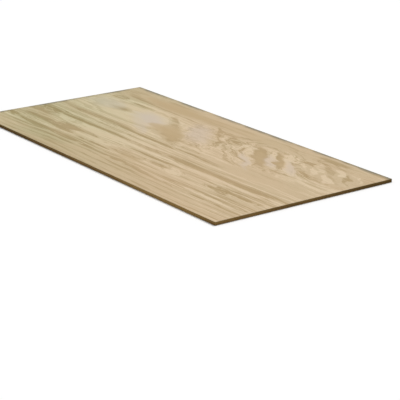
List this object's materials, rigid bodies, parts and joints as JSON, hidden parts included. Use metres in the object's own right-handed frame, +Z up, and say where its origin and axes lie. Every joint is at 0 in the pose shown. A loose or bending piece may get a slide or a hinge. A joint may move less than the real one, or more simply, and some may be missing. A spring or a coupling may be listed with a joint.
{
  "type": "plywood sheet",
  "caption": "Flat rectangular sheet of sanded softwood plywood with straight sawn edges, face grain along its length, for sheathing, shelving and joinery.",
  "frame": {"origin": "middle of the back face, which the sheet lies on", "axes": "+X along the length and the face grain, +Y across the width, +Z up, out of the better face"},
  "size_m": [2.4384, 1.2192, 0.0191],
  "materials": {
    "pine_plywood": "bare rotary-cut softwood veneer, sanded matt on the face, with brown sawn edges"
  },
  "bodies": {
    "root": {"plywood_sheet": "pine_plywood"}
  },
  "joints": []
}
